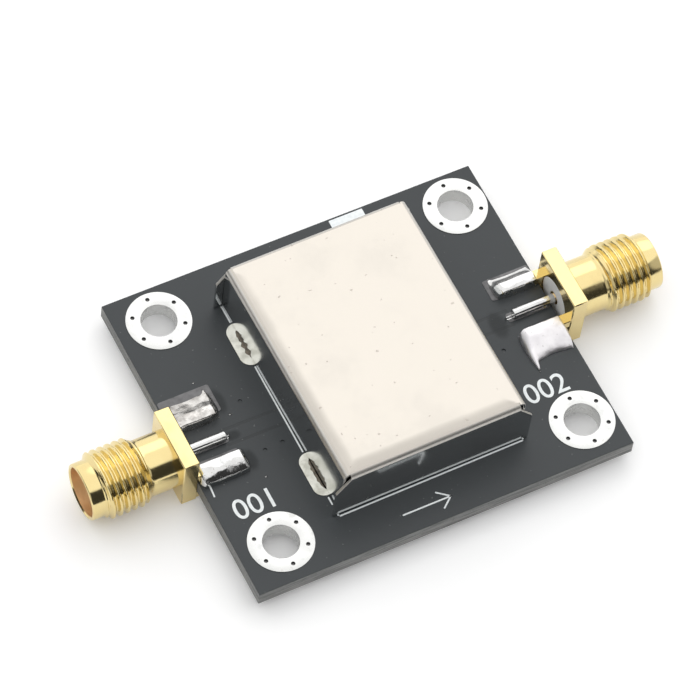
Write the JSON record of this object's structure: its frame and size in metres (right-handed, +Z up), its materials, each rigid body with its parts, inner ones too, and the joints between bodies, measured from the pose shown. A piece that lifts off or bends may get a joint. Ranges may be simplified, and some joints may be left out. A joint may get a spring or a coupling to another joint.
{
  "type": "lc bandpass filter",
  "caption": "Shielded LC band-pass filter on a small circuit board, with a threaded coaxial edge jack at each end and plated mounting holes.",
  "frame": {"origin": "Middle of the underside: the square flanges of the two jacks stand on Z = 0, and X and Y are centred on the overall box.", "axes": "+X from the input jack to the output jack, +Y to the back edge of the board, +Z up, out of the component side."},
  "size_m": [0.0574, 0.032, 0.0089],
  "materials": {
    "solder_mask_board": "satin charcoal solder mask on glass-epoxy board",
    "tinned_foil": "bright tinned copper foil",
    "can_sheet": "bright nickel-coloured sheet",
    "gold_plate": "gold-plated brass",
    "white_insulator": "white fluoropolymer",
    "solder": "bright flowed solder",
    "capacitor_ceramic": "fired ceramic chip with plated ends",
    "inductor_winding": "enamelled copper wire on a ceramic core"
  },
  "bodies": {
    "root": {"circuit_board": "solder_mask_board", "hole_ring_front_left": "tinned_foil", "hole_ring_front_right": "tinned_foil", "hole_ring_back_left": "tinned_foil", "hole_ring_back_right": "tinned_foil", "slot_sleeve_front_left": "tinned_foil", "slot_sleeve_front_right": "tinned_foil", "slot_sleeve_back_left": "tinned_foil", "slot_sleeve_back_right": "tinned_foil", "shield_can": "can_sheet", "input_jack_body": "gold_plate", "input_jack_insulator": "white_insulator", "input_jack_contact": "gold_plate", "output_jack_body": "gold_plate", "output_jack_insulator": "white_insulator", "output_jack_contact": "gold_plate", "input_solder_front_top": "solder", "input_solder_back_top": "solder", "input_solder_front_bottom": "solder", "input_solder_back_bottom": "solder", "input_solder_pin": "solder", "output_solder_front_top": "solder", "output_solder_back_top": "solder", "output_solder_front_bottom": "solder", "output_solder_back_bottom": "solder", "output_solder_pin": "solder", "tab_solder_front_left": "solder", "tab_solder_front_right": "solder", "tab_solder_back_left": "solder", "tab_solder_back_right": "solder", "capacitor_1": "capacitor_ceramic", "capacitor_2": "capacitor_ceramic", "capacitor_3": "capacitor_ceramic", "capacitor_4": "capacitor_ceramic", "capacitor_5": "capacitor_ceramic", "inductor_1": "inductor_winding", "inductor_2": "inductor_winding", "inductor_3": "inductor_winding", "inductor_4": "inductor_winding"}
  },
  "joints": []
}
